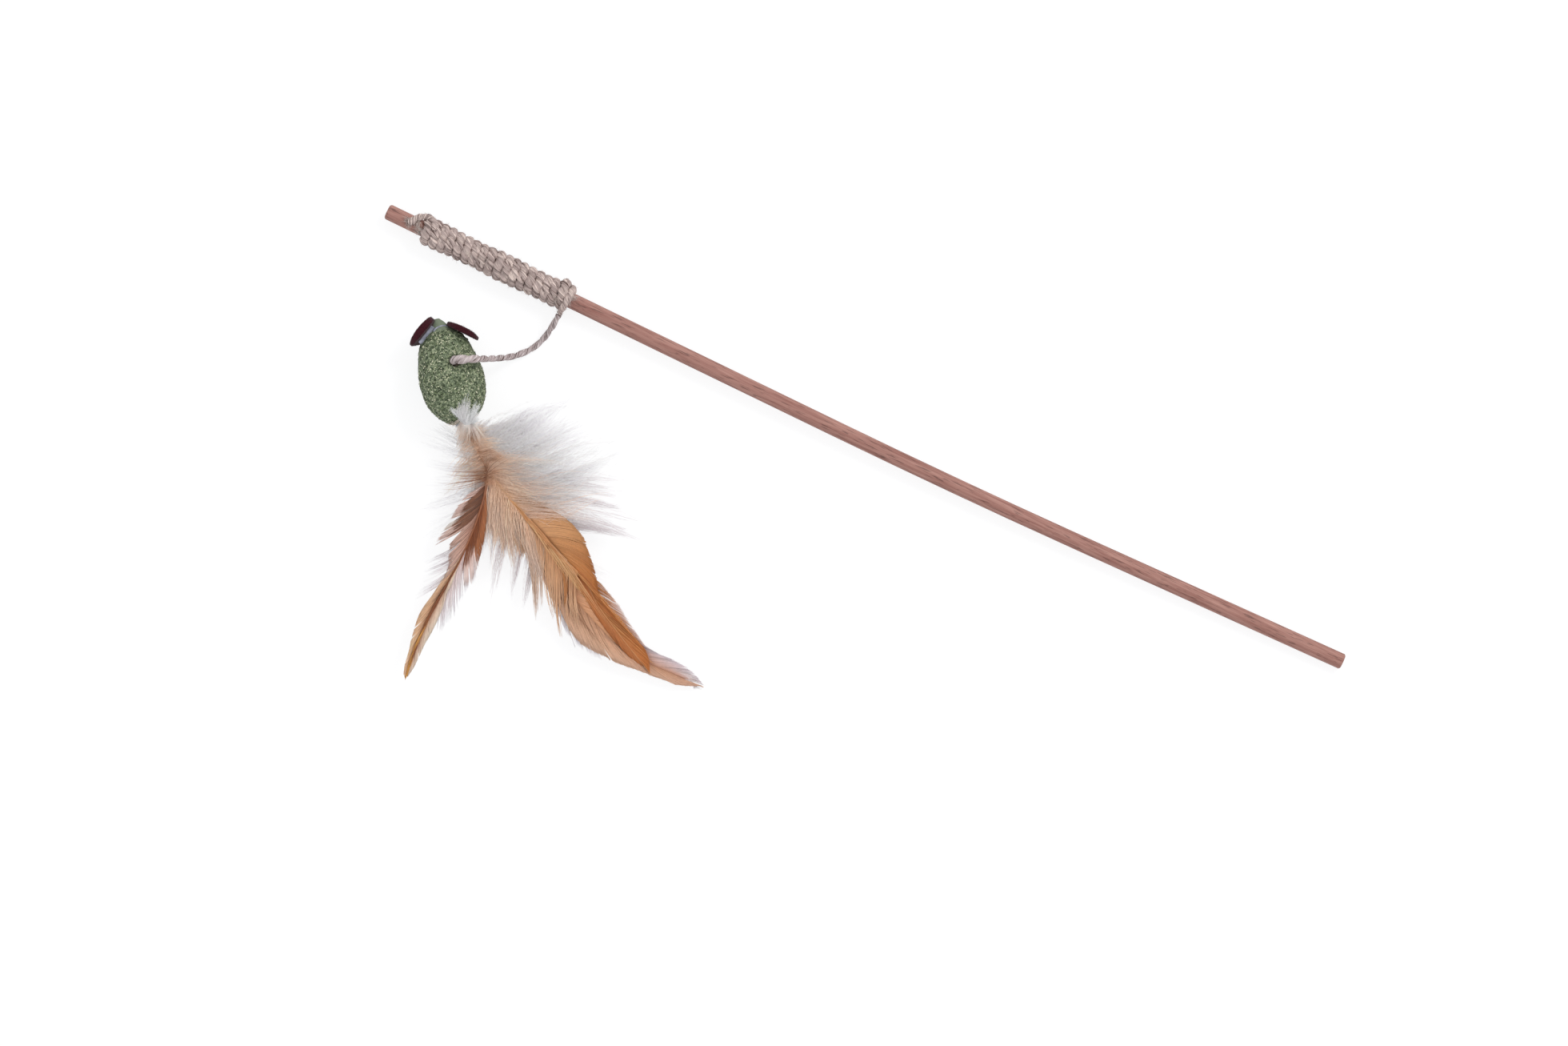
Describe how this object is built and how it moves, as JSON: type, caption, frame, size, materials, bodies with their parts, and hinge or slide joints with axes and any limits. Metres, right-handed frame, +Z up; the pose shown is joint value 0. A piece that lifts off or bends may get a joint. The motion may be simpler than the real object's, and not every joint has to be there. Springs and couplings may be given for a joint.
{
  "type": "cat teaser wand",
  "caption": "Wooden cat teaser wand with jute twine wound on its tip, and a pressed catnip mouse on a lead with felt ears and long cock feathers for a tail",
  "frame": {"origin": "on the table, under the middle of the whole laid-out toy", "axes": "+X along the stick from its wound tip to its handle end, +Y across the stick away from the mouse, +Z up from the table that the toy lies on"},
  "size_m": [0.4, 0.1623, 0.0274],
  "materials": {
    "stick_wood": "satin",
    "wound_twine": "matte",
    "lead_twine": "matte",
    "pressed_catnip": "matte",
    "ear_felt": "matte",
    "clear_glue": "gloss",
    "pale_quill": "satin",
    "dark_quill": "satin",
    "gold_quill": "satin",
    "brown_barbs": "matte",
    "gold_barbs": "matte",
    "rose_barbs": "matte",
    "tan_down": "matte",
    "white_down": "matte"
  },
  "bodies": {
    "wand": {"wand_stick": "stick_wood", "tip_hitch": "wound_twine", "twine_winding": "wound_twine", "lock_hitch": "wound_twine"},
    "lead": {"twine_lead": "lead_twine"},
    "mouse": {"mouse_body": "pressed_catnip", "left_ear": "ear_felt", "right_ear": "ear_felt", "left_ear_glue": "clear_glue", "right_ear_glue": "clear_glue", "twine_anchor": "lead_twine", "anchor_glue": "clear_glue", "feather_glue_plug": "clear_glue", "quill_roots": "pale_quill", "rear_down": "white_down"},
    "brown_feather": {"brown_quill": "dark_quill", "brown_vane": "brown_barbs", "brown_down": "white_down"},
    "gold_feather": {"gold_quill": "gold_quill", "gold_vane": "gold_barbs", "gold_down": "tan_down"},
    "rose_feather": {"rose_quill": "pale_quill", "rose_vane": "rose_barbs", "rose_down": "white_down"}
  },
  "joints": [
    {"name": "lead_swing", "type": "hinge", "parent": "wand", "child": "lead", "pos_m": [-0.12377, 0.06663, 0.0069], "axis": [1, 0, 0], "range_deg": [-90, 90]},
    {"name": "mouse_swivel", "type": "hinge", "parent": "lead", "child": "mouse", "pos_m": [-0.15147, 0.03403, 0.0204], "axis": [0, 0, 1], "range_deg": [-30, 24]},
    {"name": "brown_sway", "type": "hinge", "parent": "mouse", "child": "brown_feather", "pos_m": [-0.13823, 0.01339, 0.01145], "axis": [0, 0, 1], "range_deg": [-14, 14], "stiffness_Nm_per_rad": 0.0005},
    {"name": "gold_sway", "type": "hinge", "parent": "mouse", "child": "gold_feather", "pos_m": [-0.13823, 0.01339, 0.01145], "axis": [0, 0, 1], "range_deg": [-14, 14], "stiffness_Nm_per_rad": 0.0005},
    {"name": "rose_sway", "type": "hinge", "parent": "mouse", "child": "rose_feather", "pos_m": [-0.13823, 0.01339, 0.01145], "axis": [0, 0, 1], "range_deg": [-14, 14], "stiffness_Nm_per_rad": 0.0005}
  ]
}
